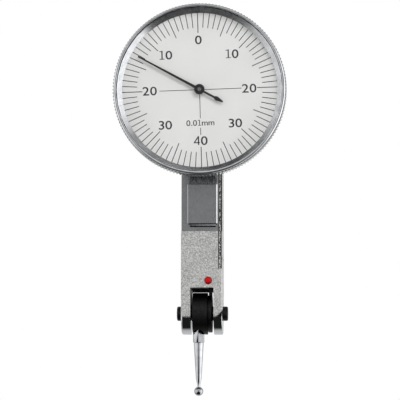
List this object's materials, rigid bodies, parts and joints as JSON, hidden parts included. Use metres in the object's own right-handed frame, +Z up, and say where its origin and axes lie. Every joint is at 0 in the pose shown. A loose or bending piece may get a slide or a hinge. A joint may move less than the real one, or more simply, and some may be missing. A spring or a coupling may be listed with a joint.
{
  "type": "dial test indicator",
  "caption": "Lever type dial test indicator: knurled round dial head on a slim body with dovetails, and a ball stylus on a swivelling friction holder in a fork.",
  "frame": {"origin": "centre of the front dovetail's flat face, below the dial", "axes": "+X across the body to the viewer's right, +Y away from the viewer (the dial faces -Y), +Z up along the body from the stylus to the dial"},
  "size_m": [0.0386, 0.0197, 0.0871],
  "materials": {
    "satin_chrome": "satin, bead blasted chrome plate",
    "polished_chrome": "polished chrome",
    "black_oxide": "blackened steel, satin",
    "steel": "ground steel",
    "carbide": "polished carbide",
    "brass": "fine turned",
    "bronze": "turned",
    "spring_steel": "blued spring steel",
    "dial_white": "matt white print on brass",
    "crystal": "clear",
    "gasket": "matt",
    "hand_black": "matt black",
    "seal_red": "glossy sealing lacquer"
  },
  "bodies": {
    "root": {"housing": "satin_chrome", "side_cover": "satin_chrome", "side_cover_screw_1": "steel", "side_cover_screw_2": "steel", "side_cover_screw_3": "steel", "side_cover_screw_4": "steel", "pivot_screw_left": "black_oxide", "pivot_screw_right": "black_oxide", "sealed_screw": "steel", "red_seal": "seal_red", "sector_pin": "steel", "crown_bush_left": "bronze", "crown_bush_right": "bronze", "train_bridge": "brass", "train_bridge_screw_1": "steel", "train_bridge_screw_2": "steel", "dial_case": "satin_chrome", "dial_case_screw_1": "steel", "dial_case_screw_2": "steel", "dial_case_screw_3": "steel", "dial_case_screw_4": "steel", "bearing_cock": "brass", "bearing_cock_screw_1": "steel", "bearing_cock_screw_2": "steel", "front_arbor_bush": "bronze", "rear_arbor_bush": "bronze", "hairspring": "spring_steel", "hairspring_stud": "brass", "bezel_spring_ring": "spring_steel"},
    "bezel_assembly": {"bezel": "polished_chrome", "crystal": "crystal", "crystal_gasket": "gasket", "dial_plate": "dial_white", "dial_retaining_ring": "spring_steel"},
    "lever": {"main_lever": "black_oxide", "lever_axle": "steel", "lever_pin": "carbide", "clutch_washer": "black_oxide", "thrust_washer_left": "black_oxide", "thrust_washer_right": "black_oxide"},
    "stylus": {"stylus_holder": "black_oxide", "stylus_shank": "polished_chrome", "stylus_ball": "carbide"},
    "sector": {"sector_gear": "brass", "sector_hub": "brass"},
    "crown": {"crown_gear": "brass", "crown_hub": "brass", "crown_arbor": "steel", "crown_pinion": "steel"},
    "pointer": {"pointer_arbor": "steel", "centre_pinion": "steel", "pointer_hub": "hand_black", "pointer_hand": "hand_black", "hairspring_collet": "brass"}
  },
  "joints": [
    {"name": "bezel_turn", "type": "hinge", "parent": "root", "child": "bezel_assembly", "pos_m": [-0.00025, -0.0063, 0.02485], "axis": [0, 1, 0], "continuous": true},
    {"name": "lever_swing", "type": "hinge", "parent": "root", "child": "lever", "pos_m": [-0.00025, 0.00495, -0.02455], "axis": [1, 0, 0], "range_deg": [-1.31, 1.31], "stiffness_Nm_per_rad": 0.2},
    {"name": "stylus_tilt", "type": "hinge", "parent": "lever", "child": "stylus", "pos_m": [-0.00025, 0.00495, -0.02455], "axis": [1, 0, 0], "range_deg": [-110, 110]},
    {"name": "sector_swing", "type": "hinge", "parent": "root", "child": "sector", "pos_m": [-0.00025, 0.00495, 0.0175], "axis": [1, 0, 0], "range_deg": [-10.6, 10.6]},
    {"name": "crown_spin", "type": "hinge", "parent": "root", "child": "crown", "pos_m": [-0.00025, 0.00495, 0.02485], "axis": [1, 0, 0], "range_deg": [-63.5, 63.5]},
    {"name": "pointer_spin", "type": "hinge", "parent": "root", "child": "pointer", "pos_m": [-0.00025, -0.0063, 0.02485], "axis": [0, 1, 0], "range_deg": [-181, 181]}
  ],
  "couplings": [
    {"joint": "sector_swing", "follows": "lever_swing", "ratio": -8},
    {"joint": "crown_spin", "follows": "lever_swing", "ratio": 48},
    {"joint": "pointer_spin", "follows": "lever_swing", "ratio": -137.14}
  ]
}
